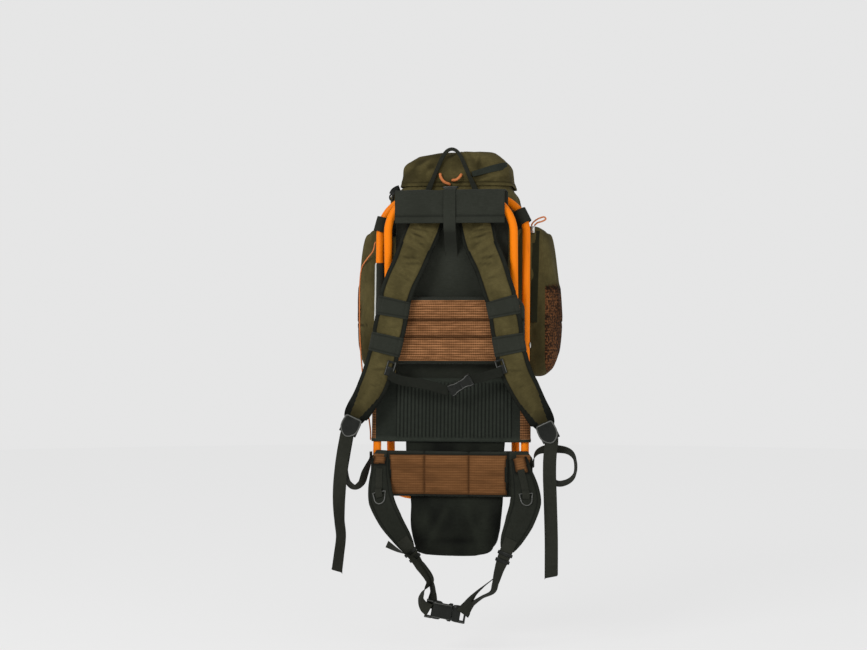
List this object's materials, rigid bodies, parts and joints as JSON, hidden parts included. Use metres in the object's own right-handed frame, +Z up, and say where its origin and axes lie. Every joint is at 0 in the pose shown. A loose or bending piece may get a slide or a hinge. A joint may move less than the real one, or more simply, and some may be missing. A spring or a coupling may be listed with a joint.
{
  "type": "chair backpack",
  "caption": "Folded scissor stool of painted tube loops that carries a cloth rucksack, with padded shoulder straps, back and lumbar pads, hip belt and side pockets.",
  "frame": {"origin": "underside of the haul loop's crown, where a hook or hand holds the pack up", "axes": "+Z up, -Y towards the wearer's back, +X to the right as seen from the wearer's side"},
  "size_m": [0.4907, 0.3655, 0.935],
  "materials": {
    "paint": "satin orange powder coat",
    "steel": "plated",
    "black_cloth": "brushed black pack cloth",
    "green_cloth": "olive brushed cloth",
    "rust_mesh": "rust spacer mesh",
    "pocket_mesh": "dark open mesh",
    "webbing": "ribbed black webbing",
    "plastic": "moulded black plastic",
    "orange_cord": "braided orange cord"
  },
  "bodies": {
    "root": {"inner_leg_frame": "paint", "outer_leg_frame": "paint", "pivot_pin_left": "steel", "pivot_pin_right": "steel", "seat_sling": "black_cloth", "back_panel": "black_cloth", "yoke_strap": "webbing", "yoke_buckle": "plastic", "back_pad": "rust_mesh", "rib_band": "black_cloth", "lumbar_pad": "rust_mesh", "shoulder_strap_left": "green_cloth", "shoulder_strap_right": "green_cloth", "strap_band_upper_left": "black_cloth", "strap_band_lower_left": "black_cloth", "strap_band_upper_right": "black_cloth", "strap_band_lower_right": "black_cloth", "ladder_lock_left": "plastic", "ladder_lock_right": "plastic", "lock_tab_left": "webbing", "lock_tab_right": "webbing", "adjuster_left": "webbing", "adjuster_right": "webbing", "sternum_slider_left": "plastic", "sternum_slider_right": "plastic", "sternum_webbing_left": "webbing", "sternum_webbing_right": "webbing", "sternum_buckle": "plastic", "belt_wing_left": "black_cloth", "belt_wing_right": "black_cloth", "d_ring_left": "plastic", "d_ring_right": "plastic", "ring_tab_left": "webbing", "ring_tab_right": "webbing", "belt_webbing_left": "webbing", "belt_webbing_right": "webbing", "belt_return_left": "webbing", "belt_return_right": "webbing", "belt_buckle_socket": "plastic", "belt_buckle_plug": "plastic", "main_bag": "green_cloth", "lid": "green_cloth", "lid_zip": "black_cloth", "lid_cord_left": "orange_cord", "lid_cord_right": "orange_cord", "haul_loop": "webbing", "side_pocket_left": "green_cloth", "side_pocket_right": "green_cloth", "mesh_pocket_left": "pocket_mesh", "mesh_pocket_right": "pocket_mesh", "pocket_zip_right": "black_cloth", "zip_slider_right": "steel", "zip_cord_right": "orange_cord", "frame_clamp_left": "webbing", "frame_clamp_right": "webbing", "butt_pocket": "black_cloth", "elastic_cord": "orange_cord", "tube_wrap": "black_cloth", "side_ring": "plastic"}
  },
  "joints": []
}
